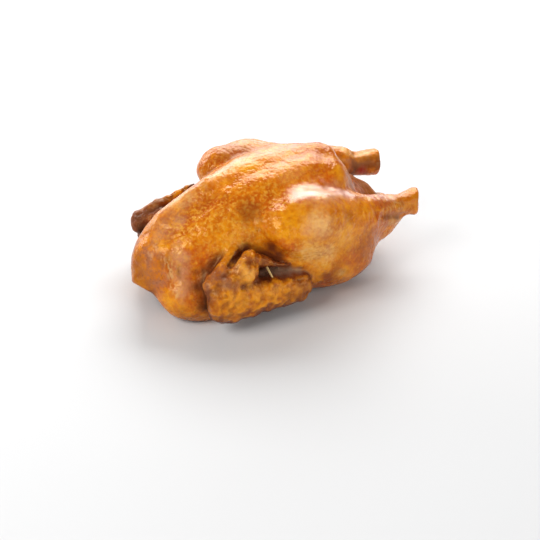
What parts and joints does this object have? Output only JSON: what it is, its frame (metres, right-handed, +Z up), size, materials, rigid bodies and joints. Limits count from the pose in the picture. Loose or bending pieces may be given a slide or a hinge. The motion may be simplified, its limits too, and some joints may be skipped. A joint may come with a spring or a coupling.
{
  "type": "roast chicken",
  "caption": "Whole roast chicken resting on its back, breast up, with folded wings, both legs drawn back and a wooden pick through the near wing.",
  "frame": {"origin": "on the surface it rests on, under the middle of the back", "axes": "+X from the neck end towards the hocks, -Y towards the bird's own right side, +Z up through the breast"},
  "size_m": [0.2764, 0.1644, 0.1139],
  "materials": {
    "skin": "glossy golden-brown roast skin",
    "pick": "plain straw-coloured wood"
  },
  "bodies": {
    "root": {"chicken": "skin", "wing_pin": "pick"}
  },
  "joints": []
}
